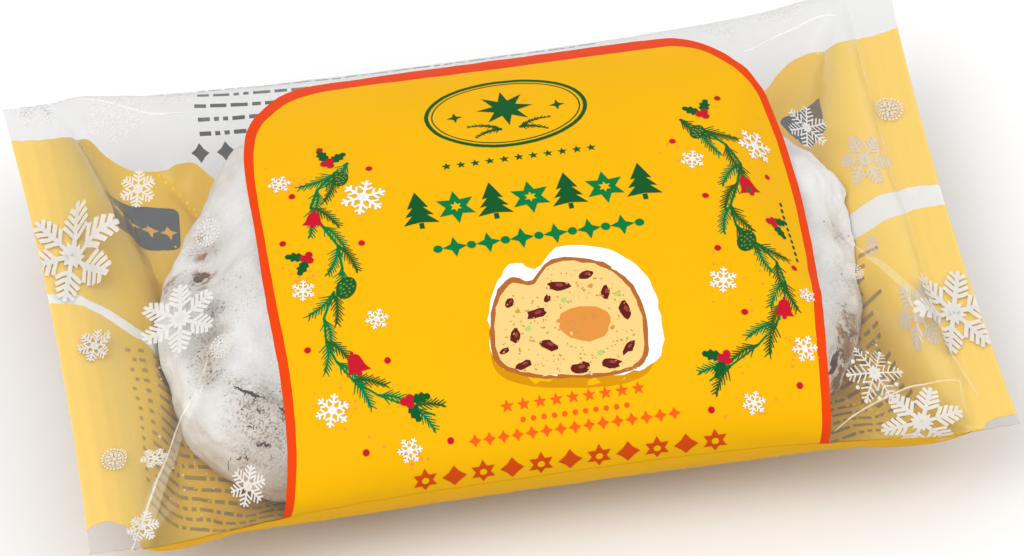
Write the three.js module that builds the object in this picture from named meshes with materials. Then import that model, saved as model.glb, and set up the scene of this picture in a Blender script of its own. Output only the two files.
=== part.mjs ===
// A small sugared stollen in its sealed flow-wrap pack, lying on its back with the printed front up.
// The pack is one closed body: a clear film tube, tight round a loaf in the middle and pressed flat into
// a sealed fin at each end, with its lengthwise back seam folded flat underneath.
// Units are millimetres. X runs along the loaf, Y across it and Z up. The origin is under the middle of
// the pack, on the surface that it rests on.

import * as THREE from "three";

// Driving dimensions.
const PACK_LENGTH = 170; // tip to tip of the sealed ends
const SEAL_WIDTH = 112; // half the film tube's girth, which is how wide it lies when pressed flat
const BODY_WIDTH = 100; // across the middle, over the loaf
const PACK_HEIGHT = 39; // over the crown of the loaf
const SEAL_HEIGHT = 22; // how high the flat ends stand over the surface
const FIN_LENGTH = 9; // the pressed strip at each end
const FIN_THICKNESS = 1.0;
const END_HOLLOW = 1.6; // how far the middle of each end is drawn in by the loaf
const REST_SINK = 1.5; // how much of the rounded underside is pressed flat by the surface

// How the tube closes towards its ends.
const SHOULDER_POWER = 4.5; // higher keeps the crown level for longer
const SHOULDER_ROUNDNESS = 0.75; // lower closes onto the fin more bluntly
const FLARE_POWER = 3; // how late the sides spread out to the width of the seal
const CROWN_SQUARENESS = 2.05; // of the upper half of the cross-section over the loaf
const UNDERSIDE_SQUARENESS = 2.5; // of its lower half, which the loaf's flat base spreads
const FIN_SQUARENESS = 24; // of the cross-section in the flat fin

// Resolution.
const RINGS_IN_BODY = 44;
const POINTS_ACROSS = 40;

const HALF_LENGTH = PACK_LENGTH / 2;
const HALF_BODY = HALF_LENGTH - FIN_LENGTH;

// The film's cross-section at a distance x from the middle: its half width, its rise and drop from the
// seal's level, and how far it is pressed into the square section of the fin.
function sectionAt(x) {
  const along = Math.min(Math.abs(x) / HALF_BODY, 1);
  const closing = Math.pow(1 - Math.pow(along, SHOULDER_POWER), SHOULDER_ROUNDNESS);
  const flare = Math.pow(along, FLARE_POWER);
  const thin = FIN_THICKNESS / 2;
  return {
    halfWidth: THREE.MathUtils.lerp(BODY_WIDTH, SEAL_WIDTH, flare) / 2,
    rise: thin + (PACK_HEIGHT - SEAL_HEIGHT - thin) * closing,
    drop: thin + (SEAL_HEIGHT + REST_SINK - thin) * closing,
    pressed: Math.pow(along, 12),
  };
}

// One closed ring of points round the tube, over the top from +Y to -Y and back underneath.
function ringAt(x) {
  const { halfWidth, rise, drop, pressed } = sectionAt(x);
  const crown = THREE.MathUtils.lerp(CROWN_SQUARENESS, FIN_SQUARENESS, pressed);
  const underside = THREE.MathUtils.lerp(UNDERSIDE_SQUARENESS, FIN_SQUARENESS, pressed);
  const inFin = Math.max(Math.abs(x) - HALF_BODY, 0) / FIN_LENGTH;
  const ring = [];
  for (let i = 0; i < 2 * POINTS_ACROSS; i++) {
    const angle = (Math.PI * i) / POINTS_ACROSS;
    const across = Math.cos(angle);
    const upper = i < POINTS_ACROSS;
    const arch = Math.sqrt(1 - Math.pow(Math.abs(across), upper ? crown : underside));
    const z = SEAL_HEIGHT + (upper ? rise : -drop) * arch;
    const drawnIn = Math.sign(x) * END_HOLLOW * inFin * (1 - across * across);
    ring.push(new THREE.Vector3(x - drawnIn, halfWidth * across, Math.max(z, 0)));
  }
  return ring;
}

// Skins a row of rings that all have the same number of points, and closes both ends with strips that run
// from each upper point to the lower point beneath it.
function loft(rings) {
  const around = rings[0].length;
  const positions = rings.flat().flatMap((p) => [p.x, p.y, p.z]);
  const faces = [];
  for (let r = 0; r + 1 < rings.length; r++) {
    for (let i = 0; i < around; i++) {
      const a = r * around + i;
      const b = r * around + ((i + 1) % around);
      faces.push(a, b, a + around, b, b + around, a + around);
    }
  }
  const last = (rings.length - 1) * around;
  for (let i = 0; i < around / 2; i++) {
    const upper = [i, i + 1];
    const lower = [(around - i) % around, around - i - 1];
    addStrip(faces, 0, upper, lower, false);
    addStrip(faces, last, upper, lower, true);
  }
  const geometry = new THREE.BufferGeometry();
  geometry.setAttribute("position", new THREE.Float32BufferAttribute(positions, 3));
  geometry.setIndex(faces);
  geometry.computeVertexNormals();
  return geometry;
}

// One piece of an end cap. Where the upper and lower points meet at a fold, it is a single triangle.
function addStrip(faces, offset, [u0, u1], [l0, l1], outwards) {
  const triangles = [];
  if (u0 !== l0) triangles.push([u0, l0, u1]);
  if (u1 !== l1) triangles.push([l0, l1, u1]);
  for (const [a, b, c] of triangles) {
    const corners = outwards ? [a, c, b] : [a, b, c];
    faces.push(...corners.map((corner) => corner + offset));
  }
}

function packGeometry() {
  const stations = [-HALF_LENGTH];
  for (let r = 0; r <= RINGS_IN_BODY; r++) {
    // Rings crowd towards the ends, where the tube closes.
    stations.push(-HALF_BODY * Math.cos((Math.PI * r) / RINGS_IN_BODY));
  }
  stations.push(HALF_LENGTH);
  return loft(stations.map(ringAt));
}

const filmMaterial = new THREE.MeshStandardMaterial({
  color: new THREE.Color(0.96, 0.53, 0.01),
  roughness: 0.35,
  metalness: 0,
});

const pack = new THREE.Mesh(packGeometry(), filmMaterial);
pack.name = "pack";

const stollenPack = new THREE.Group();
stollenPack.name = "stollen_pack";
stollenPack.add(pack);

export default stollenPack;
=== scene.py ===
# A small sugared stollen in its sealed film pack, lying on its back with the printed front up.
# Everything is in metres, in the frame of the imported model: X along the loaf, Y across it, Z up.
import math

import bpy
import numpy as np
from mathutils import Euler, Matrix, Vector


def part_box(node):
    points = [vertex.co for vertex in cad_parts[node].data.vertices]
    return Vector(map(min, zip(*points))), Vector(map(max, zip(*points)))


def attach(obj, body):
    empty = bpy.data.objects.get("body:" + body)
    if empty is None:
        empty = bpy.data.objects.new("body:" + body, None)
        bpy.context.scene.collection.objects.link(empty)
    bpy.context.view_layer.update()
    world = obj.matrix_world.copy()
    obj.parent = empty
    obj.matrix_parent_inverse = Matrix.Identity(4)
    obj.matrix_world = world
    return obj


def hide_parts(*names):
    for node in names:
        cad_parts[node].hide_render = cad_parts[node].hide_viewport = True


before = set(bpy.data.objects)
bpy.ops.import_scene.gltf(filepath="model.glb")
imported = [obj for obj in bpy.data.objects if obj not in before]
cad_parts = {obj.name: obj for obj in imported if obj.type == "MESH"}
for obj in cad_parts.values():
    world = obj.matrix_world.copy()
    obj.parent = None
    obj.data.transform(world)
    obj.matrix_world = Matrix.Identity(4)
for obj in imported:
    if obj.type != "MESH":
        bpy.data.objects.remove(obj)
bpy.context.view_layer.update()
bpy.ops.object.select_all(action="DESELECT")


# ---- The film: one clear tube of flow-wrap film, 226 mm round, pressed flat into a fin at each end.
# It is made up flat, filled, and puffed out a little by the air that is sealed in with the loaf. The
# fins are held, the middle is held softly by the loaf, and the ends are left free to buckle.
MM = 0.001
pack_low, pack_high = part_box("pack")
pack_length = pack_high[0] - pack_low[0]
seal_width = pack_high[1] - pack_low[1]
pack_height = pack_high[2] - pack_low[2]
seal_height = 22.0 * MM
body_width = 99.8 * MM
fin_length = 9.0 * MM
film_thickness = 0.3 * MM
underside = 0.5 * MM
end_hollow = 1.6 * MM
rest_sink = 1.5 * MM
film_length = 177.0 * MM
film_girth = 226.0 * MM
half_body = pack_length / 2 - fin_length


shoulder_power, shoulder_roundness = 4.5, 0.75
flare_power, press_power = 3, 12
crown_squareness, base_squareness, fin_squareness = 2.05, 2.5, 24
ring_steps = 1441


def smooth_step(value, start, end):
    part = np.clip((value - start) / (end - start), 0.0, 1.0)
    return part * part * (3 - 2 * part)


def pack_ring(x, count):
    """Points round the pack at x, evenly spaced, from the middle of the back up the far side."""
    along = min(abs(x) / half_body, 1.0)
    closing = (1 - along**shoulder_power) ** shoulder_roundness
    half_width = (body_width + (seal_width - body_width) * along**flare_power) / 2
    rise = film_thickness / 2 + (pack_height - seal_height - film_thickness / 2) * closing
    drop = film_thickness / 2 + (seal_height + rest_sink - film_thickness / 2) * closing
    turn = np.linspace(0, 2 * np.pi, ring_steps)
    across = np.sin(turn)
    upper = np.cos(turn) <= 0
    squareness = np.where(upper, crown_squareness, base_squareness)
    squareness = squareness + (fin_squareness - squareness) * along**press_power
    arch = np.clip(1 - np.abs(across) ** squareness, 0, 1) ** 0.5
    y = half_width * across
    z = np.maximum(seal_height + np.where(upper, rise, -drop) * arch, underside)
    run = np.concatenate([[0], np.cumsum(np.hypot(np.diff(y), np.diff(z)))])
    even = np.arange(count) / count * run[-1]
    return np.interp(even, run, y), np.interp(even, run, z)


cells_along = 104
cells_round = 132
seal_cells = round(fin_length / film_length * cells_along)
flat_x = np.linspace(-0.5, 0.5, cells_along + 1) * film_length
taken_up = (film_length - pack_length) / 2
shortens_from = 42 * MM
hollow_length = 2.2 * fin_length
loaf_hold, hold_fades_from, hold_fades_to = 0.3, 40 * MM, 60 * MM
unevenness = 0.05 * MM
formed = np.zeros((cells_along + 1, cells_round, 3))
pattern = np.zeros_like(formed)
hold = np.zeros((cells_along + 1, cells_round))
for i, flat in enumerate(flat_x):
    x = flat - np.sign(flat) * taken_up * smooth_step(abs(flat), shortens_from, film_length / 2 - fin_length)
    y, z = pack_ring(x, cells_round)
    near_fin = max(0.0, (abs(x) - (pack_length / 2 - hollow_length)) / hollow_length)
    formed[i, :, 0] = x - np.sign(x) * end_hollow * near_fin * (1 - (y / (seal_width / 2)) ** 2)
    formed[i, :, 1] = y
    formed[i, :, 2] = z
    turn = 2 * np.pi * np.arange(cells_round) / cells_round
    pattern[i, :, 0] = flat
    pattern[i, :, 1] = film_girth / (2 * np.pi) * np.sin(turn)
    pattern[i, :, 2] = seal_height - film_girth / (2 * np.pi) * np.cos(turn)
    in_fin = i <= seal_cells or i >= cells_along - seal_cells
    hold[i] = 1.0 if in_fin else loaf_hold * (1 - smooth_step(abs(flat), hold_fades_from, hold_fades_to))
rng = np.random.default_rng(5)
formed += rng.normal(size=formed.shape) * unevenness * (hold < 1)[..., None]


def grid_faces(rows, columns):
    faces = []
    for i in range(rows - 1):
        for j in range(columns):
            here, ahead = i * columns + j, i * columns + (j + 1) % columns
            faces.append((here, ahead, ahead + columns, here + columns))
    return faces


def new_piece(name, corners, faces):
    mesh = bpy.data.meshes.new(name)
    mesh.from_pydata(corners, [], faces)
    piece = bpy.data.objects.new(name, mesh)
    bpy.context.scene.collection.objects.link(piece)
    return piece


def settle_film():
    """Cloth works on an object ten times the size, because its springs are set for larger cloth."""
    size = 10.0
    corners = (formed * size).reshape(-1, 3).tolist()
    cloth = new_piece("film_cloth", corners, grid_faces(cells_along + 1, cells_round))
    cloth.data.flip_normals()
    cloth.shape_key_add(name="formed")
    flat_key = cloth.shape_key_add(name="pattern")
    flat_key.data.foreach_set("co", (pattern * size).ravel())
    flat_key.value = 0.0
    group = cloth.vertex_groups.new(name="held")
    for index, weight in enumerate(hold.ravel()):
        if weight > 0:
            group.add([index], float(weight), "REPLACE")
    modifier = cloth.modifiers.new("cloth", "CLOTH")
    settings = modifier.settings
    settings.quality = 8
    settings.mass = 0.02
    settings.tension_stiffness = 100
    settings.compression_stiffness = 100
    settings.shear_stiffness = 33
    settings.bending_model = "ANGULAR"
    settings.bending_stiffness = 0.5
    settings.air_damping = 4
    settings.use_pressure = True
    settings.uniform_pressure_force = 1.0
    settings.vertex_group_mass = "held"
    settings.rest_shape_key = flat_key
    settings.effector_weights.gravity = 0
    modifier.collision_settings.use_collision = False
    modifier.collision_settings.use_self_collision = False
    frames = 30
    modifier.point_cache.frame_end = frames
    for step in range(1, frames + 1):
        bpy.context.scene.frame_set(step)
    settled = cloth.evaluated_get(bpy.context.evaluated_depsgraph_get())
    places = np.zeros(formed.size)
    settled.data.vertices.foreach_get("co", places)
    bpy.data.objects.remove(cloth)
    bpy.context.scene.frame_set(1)
    return places.reshape(formed.shape) / size


film_grid = settle_film()


def spline_weights(t):
    before, here = (1 - t) ** 3, 3 * t**3 - 6 * t**2 + 4
    return np.stack([before, here, -3 * t**3 + 3 * t**2 + 3 * t + 1, t**3]) / 6


def settled_film(x, v):
    """The place on the settled film of the point x along the flat tube and v of the way round it."""
    row = np.clip((np.asarray(x) / film_length + 0.5) * cells_along, 0, cells_along - 1e-6)
    column = np.asarray(v) * cells_round
    i, j = np.floor(row).astype(int), np.floor(column).astype(int)
    along, round_it = spline_weights(row - i), spline_weights(column - j)
    place = 0
    for a in range(4):
        near = i + a - 1
        inside = np.clip(near, 0, cells_along)
        past = near - inside
        mirrored = np.clip(inside - past, 0, cells_along)
        for b in range(4):
            around = (j + b - 1) % cells_round
            point = film_grid[inside, around]
            point = point + (point - film_grid[mirrored, around]) * np.abs(past)[..., None]
            place = place + (along[a] * round_it[b])[..., None] * point
    return place


def normal_of(surface, x, v):
    step = 0.3 * MM
    turn = step / film_girth
    along = surface(x + step, v) - surface(x - step, v)
    round_it = surface(x, v + turn) - surface(x, v - turn)
    normal = np.cross(round_it, along)
    return normal / np.maximum(np.linalg.norm(normal, axis=-1, keepdims=True), 1e-12)


# Sharp creases, each with its height and half width in millimetres, run from the ends of the loaf to the
# corners. The sealing jaws leave ribs in the fins.
creases = [([(-63, -23.5), (-66.5, -28), (-70.5, -35), (-74.5, -43.5), (-80.5, -56.5)], 0.42, 0.55),
           ([(67, -12), (71, -15.5), (75, -22.5), (78.5, -37), (82, -56.5)], 0.4, 0.8),
           ([(79.5, -44), (66.5, -47.5), (57.5, -51), (51, -55.5)], 0.5, 0.8),
           ([(54, 31), (64.5, 40), (76, 45.5)], 0.4, 0.7),
           ([(52, 40), (66, 35), (78, 46)], -0.35, 0.9),
           ([(-52, 36), (-62, 40), (-75, 50)], 0.35, 0.8),
           ([(-58, 30), (-66, 33), (-74, 40)], -0.3, 1.0)]
rib_length, rib_height = 3.0 * MM, 0.11 * MM


def crease_height(x, y):
    height = np.zeros(np.shape(x))
    for points, tall, wide in creases:
        nearest = np.full(np.shape(x), 1.0)
        for (x0, y0), (x1, y1) in zip(points, points[1:]):
            x0, y0, x1, y1 = x0 * MM, y0 * MM, x1 * MM, y1 * MM
            part = ((x - x0) * (x1 - x0) + (y - y0) * (y1 - y0)) / ((x1 - x0) ** 2 + (y1 - y0) ** 2)
            part = np.clip(part, 0, 1)
            nearest = np.minimum(nearest, np.hypot(x - x0 - part * (x1 - x0), y - y0 - part * (y1 - y0)))
        height = height + tall * MM * np.exp(-np.abs(nearest / (wide * MM)) ** 1.5)
    return height


def on_film(x, v):
    """The same on the finished film, with its creases and its ribbed fins."""
    x, v = np.asarray(x, float), np.asarray(v, float)
    y = (0.5 - v) * film_girth
    y = np.where(y < -film_girth / 2, y + film_girth, y)
    place = settled_film(x, v) + normal_of(settled_film, x, v) * crease_height(x, y)[..., None]
    in_fin = smooth_step(np.abs(x), film_length / 2 - fin_length, film_length / 2 - fin_length + 1.5 * MM)
    place[..., 2] += in_fin * rib_height * np.sin(2 * np.pi * np.abs(x) / rib_length)
    return place


def film_normal(x, v):
    return normal_of(on_film, x, v)


film_rows, film_columns = 261, 300
flat_places = np.linspace(-0.5, 0.5, film_rows) * film_length
xs, vs = np.meshgrid(flat_places, np.arange(film_columns) / film_columns, indexing="ij")
film = new_piece("film", on_film(xs, vs).reshape(-1, 3).tolist(), grid_faces(film_rows, film_columns))
film.data.shade_smooth()


def new_material(name, settings=()):
    """Starts a material. The helpers below add their nodes to the material that was started last."""
    global nodes, links, shader
    material = bpy.data.materials.new(name)
    material.use_nodes = True
    nodes, links = material.node_tree.nodes, material.node_tree.links
    shader = nodes["Principled BSDF"]
    for socket, value in dict(settings).items():
        shader.inputs[socket].default_value = value
    return material


def node(kind, inputs=(), **details):
    """A new node with its details set, and with each input given a value or linked to another node."""
    new = nodes.new("ShaderNode" + kind)
    for detail, value in details.items():
        setattr(new, detail, value)
    for socket, value in dict(inputs).items():
        if isinstance(value, bpy.types.NodeSocket):
            links.new(value, new.inputs[socket])
        else:
            new.inputs[socket].default_value = value
    return new


def cloud(scale, detail, roughness=0.6):
    place = node("TexCoord").outputs["Object"]
    settings = {"Vector": place, "Scale": scale, "Detail": detail, "Roughness": roughness}
    return node("TexNoise", settings).outputs["Fac"]


clear = new_material("clear_film")
nodes.clear()
crinkled = node("Bump", {"Height": cloud(110, 3, 0.5), "Strength": 0.35, "Distance": 0.35 * MM})
through = node("BsdfTransparent", {"Color": (0.925, 0.925, 0.925, 1)})
haze = node("BsdfDiffuse", {"Color": (0.7, 0.7, 0.7, 1)})
gloss = node("BsdfGlossy", {"Roughness": 0.2, "Normal": crinkled.outputs["Normal"]})
body = node("MixShader", {"Fac": 0.04, 1: through.outputs[0], 2: haze.outputs[0]})
facing = node("LayerWeight", {"Blend": 0.5})
steep = node("Math", {0: facing.outputs["Facing"], 1: 4.0}, operation="POWER")
shine = node("MapRange", {"Value": steep.outputs[0], "To Min": 0.028, "To Max": 0.8})
coat = node("MixShader", {"Fac": shine.outputs[0], 1: body.outputs[0], 2: gloss.outputs[0]})
node("OutputMaterial", {"Surface": coat.outputs[0]})
film.data.materials.append(clear)
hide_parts("pack")
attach(film, "root")


# ---- The stollen: one small folded loaf of sweet yeast dough, baked brown and dusted all over with powdered
# sugar. It lies a little askew in the pack, which presses it. The sugar is thick on top, and thin and broken
# in the hollows and round the ends, where the crust and its cracks show. The hollows at the left end are also
# darkened grey-brown with painted shade.
loaf_height = 35.5 * MM
loaf_middle = (0.5 * MM, 0.0, 1.2 * MM)
loaf_edge = [
    (66.9, 7), (61.8, 17.5), (55.5, 24.5), (44, 36), (20, 45), (-10, 45.5), (-33, 42.7), (-45.8, 37.2),
    (-52, 28.2), (-57.6, 19.2), (-62.3, 10.8), (-65.4, -3), (-65.7, -14), (-64.8, -26), (-60.4, -33.2),
    (-56.3, -36.5), (-51.7, -41.2), (-35, -45.5), (-5, -46), (25, -45), (45, -40), (54.1, -34.5), (60.2, -27),
    (63.5, -18), (65.1, -8), (66.2, 0)]
bpy.ops.mesh.primitive_cube_add(size=2)
loaf = bpy.context.object
loaf.name = "stollen"
rounding = loaf.modifiers.new("rounding", "SUBSURF")
rounding.levels = rounding.render_levels = 7
bpy.ops.object.modifier_apply(modifier="rounding")
bpy.ops.object.mode_set(mode="EDIT")
bpy.ops.mesh.select_all(action="SELECT")
bpy.ops.transform.tosphere(value=1.0)
bpy.ops.object.mode_set(mode="OBJECT")
ball = np.zeros(len(loaf.data.vertices) * 3)
loaf.data.vertices.foreach_get("co", ball)
ball = ball.reshape(-1, 3)
ball /= np.linalg.norm(ball, axis=1, keepdims=True)
edge = np.array(loaf_edge) * MM
edge_heading = np.unwrap(np.arctan2(edge[:, 1], edge[:, 0]))
heading = np.arctan2(ball[:, 1], ball[:, 0])
reach = np.interp(heading, edge_heading, np.hypot(*edge.T), period=2 * math.pi)
flat_part = np.hypot(ball[:, 0], ball[:, 1])
rounder_part = smooth_step(-ball[:, 0] - ball[:, 1], 0.9, 1.3)
squareness = np.where(ball[:, 2] > 0, 2.25, 3.0 - 0.9 * rounder_part)
spread = (flat_part**squareness + np.abs(ball[:, 2]) ** squareness) ** (1 / squareness)
across, rise = flat_part / spread, ball[:, 2] / spread
x, y = across * reach * np.cos(heading), across * reach * np.sin(heading)
widest_level = 0.4
lower_end = 1 - 0.1 * smooth_step(np.abs(x), 25 * MM, 65 * MM)
level = widest_level + rise * np.where(rise > 0, 1 - widest_level, widest_level) * lower_end
places = np.stack([x, y, level * loaf_height], 1)


def nearness(px, py, wide):
    """How near the loaf's points are to a spot on its top, from 1 at the spot down to 0."""
    return np.exp(-((places[:, 0] / MM - px) ** 2 + (places[:, 1] / MM - py) ** 2) / (2 * (wide / 2) ** 2))


# Lumps and hollows of the folded dough, each (x, y, size, height) in millimetres.
upward = smooth_step(rise, -0.35, 0.25)
for px, py, wide, tall in (
        (-58.5, -31, 9, 3.4), (-50, -36, 10, 1.6), (-63, -13, 8, 1.8), (-57.8, -18.5, 4.5, -2.4),
        (-54, 5, 7, -3.0), (-52.5, 13, 6.5, -2.0), (-56.6, -11.5, 5, -2.4), (-55, -6, 4, -1.6),
        (-36, -12, 12, 1.6), (-47, -24, 6, -1.4), (57, -22, 5, -1.8), (55, -30, 6, 1.2), (60, 8, 12, 1.6),
        (52, -3, 5, -1.2), (-40, 30, 12, 1.2), (-47, 2, 9, 1.8), (-48, -36, 8, 1.2)):
    places[:, 2] += nearness(px, py, wide) * upward * tall * MM


# Where the crust shows, where the sugar is only specks, and where it is cracked, each (x, y, size, amount).
# The first two maps also hold painted shade, which darkens the hollows at the left end.
def spots(*rows):
    amounts = np.zeros(len(places))
    for px, py, wide, amount in rows:
        amounts = np.maximum(amounts, nearness(px, py, wide) * amount)
    return amounts


bare_and_shade = spots(
    (-55.6, 4.7, 4, 1.1), (-54, 10, 3.5, 0.9), (-54.6, 16.5, 3.5, 0.7), (-60.5, 6, 5, 0.6),
    (-56.4, -1, 4, 0.65), (-56.8, -11, 4, 0.45), (-58.6, -17, 4.5, 0.45), (-55.3, -6, 3.5, 0.45),
    (-49.7, -42.8, 4, 0.3), (58.9, -27.4, 4.5, 1.2), (58, -30, 4, 1.0), (56, -33, 4, 0.8),
    (60.5, -23, 4, 0.8), (-20, 44, 8, 0.8), (14, 44, 7, 0.6), (40, 38, 6, 0.9), (-40, -43, 6, 0.8),
    (8, -46, 9, 0.7), (36, -43, 6, 0.8))
bare_and_shade = np.maximum(bare_and_shade, 1.0 - smooth_step(rise, -0.85, -0.35))
grain_and_shade = spots(
    (-54.9, -6, 4, 1.0), (-56.3, -11, 4.5, 1.2), (-58, -15.5, 4.5, 1.2), (-58.4, -19.5, 4, 1.1),
    (-56.5, -22.8, 3.5, 0.7), (-60.5, 4, 6, 0.9), (-52, -5, 10, 0.4), (-50.8, -31.5, 8, 1.2),
    (-53.8, -25.5, 4.5, 0.8), (-50.5, -37.5, 6, 1.2), (-46.5, -33.5, 6, 1.1), (-54.6, -37.6, 3.5, 1.0),
    (-54.5, 12, 5, 0.8), (-53, 19, 5, 0.5), (62, -16, 6, 0.7), (60.5, -23, 5, 0.9), (61.5, -5, 4, 0.6),
    (-30, 40, 14, 0.7), (30, 38, 14, 0.7), (0, -44, 30, 0.6))
crack = spots((-54.2, -24.6, 1.3, 0.8), (-51.8, -30.6, 1.1, 0.8), (-50.7, -32.6, 1.1, 0.8),
              (-56.2, 7, 1.3, 0.8), (-56, 1.8, 1.5, 0.8), (-59.5, -1.5, 1.4, 0.6), (62.3, -5.6, 1.6, 0.6),
              (60, -25, 1.6, 0.9), (57, -31, 2.4, 1.0)) * upward
loaf.data.vertices.foreach_set("co", (places + np.array(loaf_middle)).ravel())
for attribute, amounts in (("bare_and_shade", bare_and_shade), ("grain_and_shade", grain_and_shade), ("crack", crack)):
    loaf.data.attributes.new(attribute, "FLOAT", "POINT").data.foreach_set("value", amounts)
loaf.data.update()
loaf.data.shade_smooth()


def relief(shape, name, size, depth, detail=2):
    """Raises and lowers the surface by a cloud pattern of the given size and depth."""
    texture = bpy.data.textures.new(name, "CLOUDS")
    texture.noise_scale = size
    texture.noise_depth = detail
    bumps = shape.modifiers.new(name, "DISPLACE")
    bumps.texture = texture
    bumps.texture_coords = "LOCAL"
    bumps.strength = depth
    bpy.ops.object.modifier_apply(modifier=name)


relief(loaf, "loaf_lumps", 24 * MM, 4.0 * MM)
relief(loaf, "dough_bumps", 7 * MM, 1.7 * MM)
relief(loaf, "sugar_clumps", 2.4 * MM, 0.8 * MM, 3)
pressed = loaf.modifiers.new("pressed", "SHRINKWRAP")
pressed.target = film
pressed.wrap_mode = "INSIDE"
pressed.offset = 0.5 * MM
bpy.ops.object.modifier_apply(modifier="pressed")

sugared = new_material("powdered_sugar", {"Roughness": 0.95, "Specular IOR Level": 0.1})


def ramp(source, *stops):
    steps = node("ValToRGB", {"Fac": source})
    while len(steps.color_ramp.elements) < len(stops):
        steps.color_ramp.elements.new(0.5)
    for element, (at, colour) in zip(steps.color_ramp.elements, stops):
        element.position = at
        element.color = (*colour, 1)
    return steps.outputs["Color"]


def over(amount, under, upper):
    """One colour over another by an amount."""
    return node("Mix", {"Factor": amount, "A": under, "B": upper}, data_type="RGBA").outputs["Result"]


def painted(attribute):
    return node("Attribute", attribute_name=attribute).outputs["Fac"]


def maths(operation, a, b, clamp=True):
    return node("Math", {0: a, 1: b}, operation=operation, use_clamp=clamp).outputs[0]


black, white = (0, 0, 0), (1, 1, 1)
sugar = ramp(cloud(42, 4), (0.3, (0.6, 0.555, 0.5)), (0.45, (0.725, 0.71, 0.69)), (0.6, (0.79, 0.79, 0.79)))
crust = ramp(cloud(260, 4), (0.3, (0.13, 0.062, 0.026)), (0.5, (0.3, 0.175, 0.085)),
             (0.72, (0.52, 0.4, 0.27)))
dots = ramp(cloud(1900, 2, 0.8), (0.52, black), (0.6, white))
patches = ramp(cloud(330, 3, 0.7), (0.42, black), (0.62, white))
thin = ramp(cloud(62, 5), (0.57, black), (0.72, white))
bared = maths("ADD", painted("bare_and_shade"), maths("MULTIPLY", thin, 0.2))
shown = maths("MULTIPLY", bared, maths("ADD", patches, 0.3))
grained = maths("ADD", painted("grain_and_shade"), maths("MULTIPLY", thin, 0.25))
speckled = maths("MULTIPLY", maths("MULTIPLY", dots, grained), maths("ADD", patches, 0.4))
line = maths("ABSOLUTE", maths("SUBTRACT", cloud(420, 2), 0.5, False), 0.0, False)
fissures = maths("MULTIPLY", ramp(line, (0.012, white), (0.035, black)), painted("crack"))
# The bare and grain maps tint the sugar grey-brown: partly the crust under thin sugar, partly painted shade
# in the hollows.
skin = over(maths("MULTIPLY", painted("bare_and_shade"), 0.5), sugar, (0.4, 0.33, 0.26, 1))
skin = over(maths("MULTIPLY", painted("grain_and_shade"), 0.55), skin, (0.44, 0.365, 0.285, 1))
skin = over(ramp(shown, (0.3, black), (0.62, white)), skin, crust)
skin = over(maths("MULTIPLY", speckled, 0.85), skin, (0.16, 0.125, 0.09, 1))
skin = over(fissures, skin, (0.035, 0.022, 0.014, 1))
links.new(skin, shader.inputs["Base Color"])
powder = node("Bump", {"Height": cloud(1300, 4, 0.7), "Strength": 0.6, "Distance": 0.45 * MM})
links.new(powder.outputs["Normal"], shader.inputs["Normal"])
loaf.data.materials.append(sugared)
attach(loaf, "root")
bpy.ops.object.select_all(action="DESELECT")


# ---- The raisins that show at the surface of the loaf: dark, wrinkled and half sunk in the dough. Each is
# pushed in where a line from outside meets the loaf, given as (from, towards, length) in millimetres.
bpy.ops.mesh.primitive_ico_sphere_add(subdivisions=5, radius=1 * MM)
raisin = bpy.context.object
raisin.name = "raisins"
relief(raisin, "raisin_folds", 0.75 * MM, 0.75 * MM, 1)
raisin.data.shade_smooth()
raisin.data.materials.append(new_material("raisin_skin", {"Roughness": 0.42}))
wrinkles = ramp(cloud(900, 3), (0.35, (0.018, 0.008, 0.006)), (0.65, (0.07, 0.024, 0.014)),
                (0.8, (0.3, 0.25, 0.22)))
links.new(wrinkles, shader.inputs["Base Color"])
raisins = []
rng = np.random.default_rng(21)
down, nearer = (0, 0, -1), (0, -1, 0)
for start, towards, long in (
        ((-55.6, 4.4, 60), down, 1.9), ((55.4, -33.2, 60), down, 2.7), ((-20, 80, 17), nearer, 2.6),
        ((9, 80, 21), nearer, 2.2), ((38, 80, 15), nearer, 2.5), ((-90, -20, 12), (1, 0, 0), 2.2),
        ((90, 8, 11), (-1, 0, 0), 2.4)):
    hit, place, normal, _ = loaf.ray_cast(Vector(start) * MM, Vector(towards))
    if not hit:
        continue
    one = raisin.copy()
    one.data = raisin.data.copy()
    bpy.context.scene.collection.objects.link(one)
    one.scale = (long, long * 0.66, long * 0.5)
    rolled = Euler((0, 0, rng.uniform(0, 6))).to_quaternion()
    one.rotation_euler = (normal.to_track_quat("Z", "Y") @ rolled).to_euler()
    one.location = place - normal * (long * 0.5 - 0.2) * MM
    raisins.append(one)
bpy.data.objects.remove(raisin)
bpy.ops.object.select_all(action="DESELECT")
for one in raisins:
    one.select_set(True)
bpy.context.view_layer.objects.active = raisins[0]
bpy.ops.object.transform_apply(location=True, rotation=True, scale=True)
bpy.ops.object.join()
raisins = bpy.context.object
raisins.name = "raisins"
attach(raisins, "root")


# ---- The cracks where the sugar coat has broken at the left end, thin, dark and jagged, and the grains of
# brown crust that show through the thin sugar round them.
above_loaf, mark_lift = 60, 0.06


def crust_mark(rows):
    """Lays rows of points across a mark, in millimetres, on the top of the loaf."""
    laid = []
    for px, py in sum(rows, []):
        hit, place, normal, _ = loaf.ray_cast(Vector((px, py, above_loaf)) * MM, Vector(down))
        if not hit:
            return
        laid.append(tuple(place + normal * mark_lift * MM))
    start, wide = len(corners), len(rows[0])
    corners.extend(laid)
    for j in range(len(rows) - 1):
        for a in range(start + j * wide, start + (j + 1) * wide - 1):
            all_faces.append((a, a + 1, a + wide + 1, a + wide))


def crust_piece(name, size, *tones):
    piece = new_piece(name, corners, all_faces)
    piece.data.materials.append(new_material(name + "_crust", {"Roughness": 0.95}))
    links.new(ramp(cloud(size, 2), *tones), shader.inputs["Base Color"])
    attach(piece, "root")


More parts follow.
